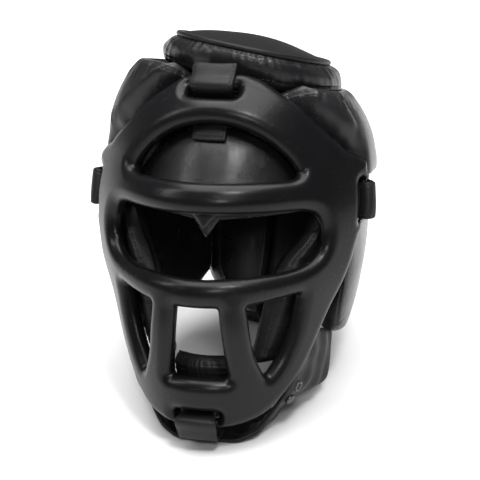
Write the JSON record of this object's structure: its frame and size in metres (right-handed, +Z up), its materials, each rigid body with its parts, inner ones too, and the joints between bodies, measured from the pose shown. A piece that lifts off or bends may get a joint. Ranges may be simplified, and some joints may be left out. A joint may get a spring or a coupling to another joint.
{
  "type": "martial arts head guard",
  "caption": "Padded black leather head guard with a moulded open face cage, a gathered crown with a flat top disc, and leather straps at the brow, temples, jaw and back.",
  "frame": {"origin": "middle of the box's bottom, on the surface that it stands on", "axes": "+Z up, the face looks along -Y, +X is the wearer's left"},
  "size_m": [0.2312, 0.3, 0.2789],
  "materials": {
    "leather": "smooth coated leather, satin to glossy",
    "strap": "smooth coated leather, satin",
    "disc": "matt grained leather",
    "cage": "dark grey moulded plastic, satin"
  },
  "bodies": {
    "root": {"face_cage": "cage", "forehead_pad": "leather", "crown_band": "leather", "top_pad": "disc", "side_pad_left": "leather", "rear_pad_left": "leather", "cheek_pad_left": "leather", "side_pad_right": "leather", "rear_pad_right": "leather", "cheek_pad_right": "leather", "chin_pad": "leather", "top_tab_strap": "strap", "chin_tab_strap": "strap", "temple_strap_left": "strap", "temple_strap_right": "strap", "rear_strap": "strap", "chin_strap": "strap"}
  },
  "joints": []
}
